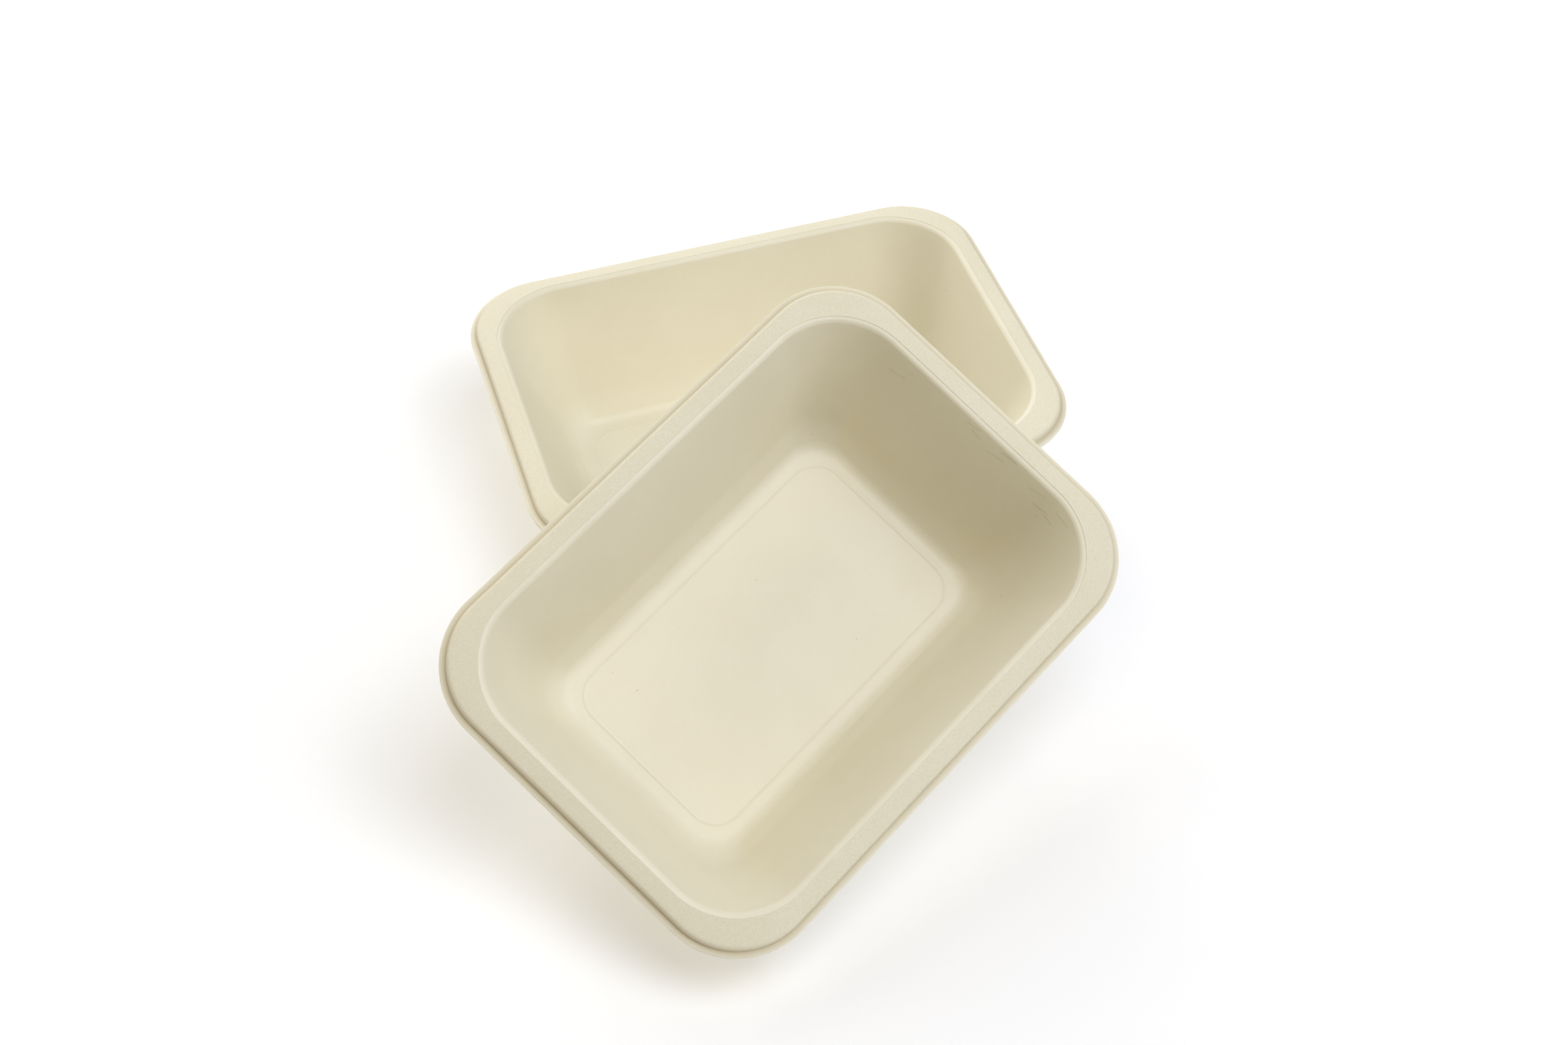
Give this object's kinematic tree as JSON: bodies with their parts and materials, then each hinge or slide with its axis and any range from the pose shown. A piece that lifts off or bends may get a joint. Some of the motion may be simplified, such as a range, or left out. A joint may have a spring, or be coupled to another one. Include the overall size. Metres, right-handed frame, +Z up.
{
  "type": "stack of meat trays",
  "caption": "Open rectangular meat trays pressed from cream plant fibre, with sloping walls and a stepped sealing rim, leaning in a loose stack.",
  "frame": {"origin": "centre of the flat underside of the lower tray, on the table", "axes": "+Z up, +X along the lower tray's long sides, +Y from the leaning tray towards the flat one"},
  "size_m": [0.2311, 0.2803, 0.1164],
  "materials": {
    "moulded_fibre": "matte pressed plant fibre, unbleached cream, with a fine grain"
  },
  "bodies": {
    "root": {"lower_tray": "moulded_fibre", "upper_tray": "moulded_fibre"}
  },
  "joints": []
}
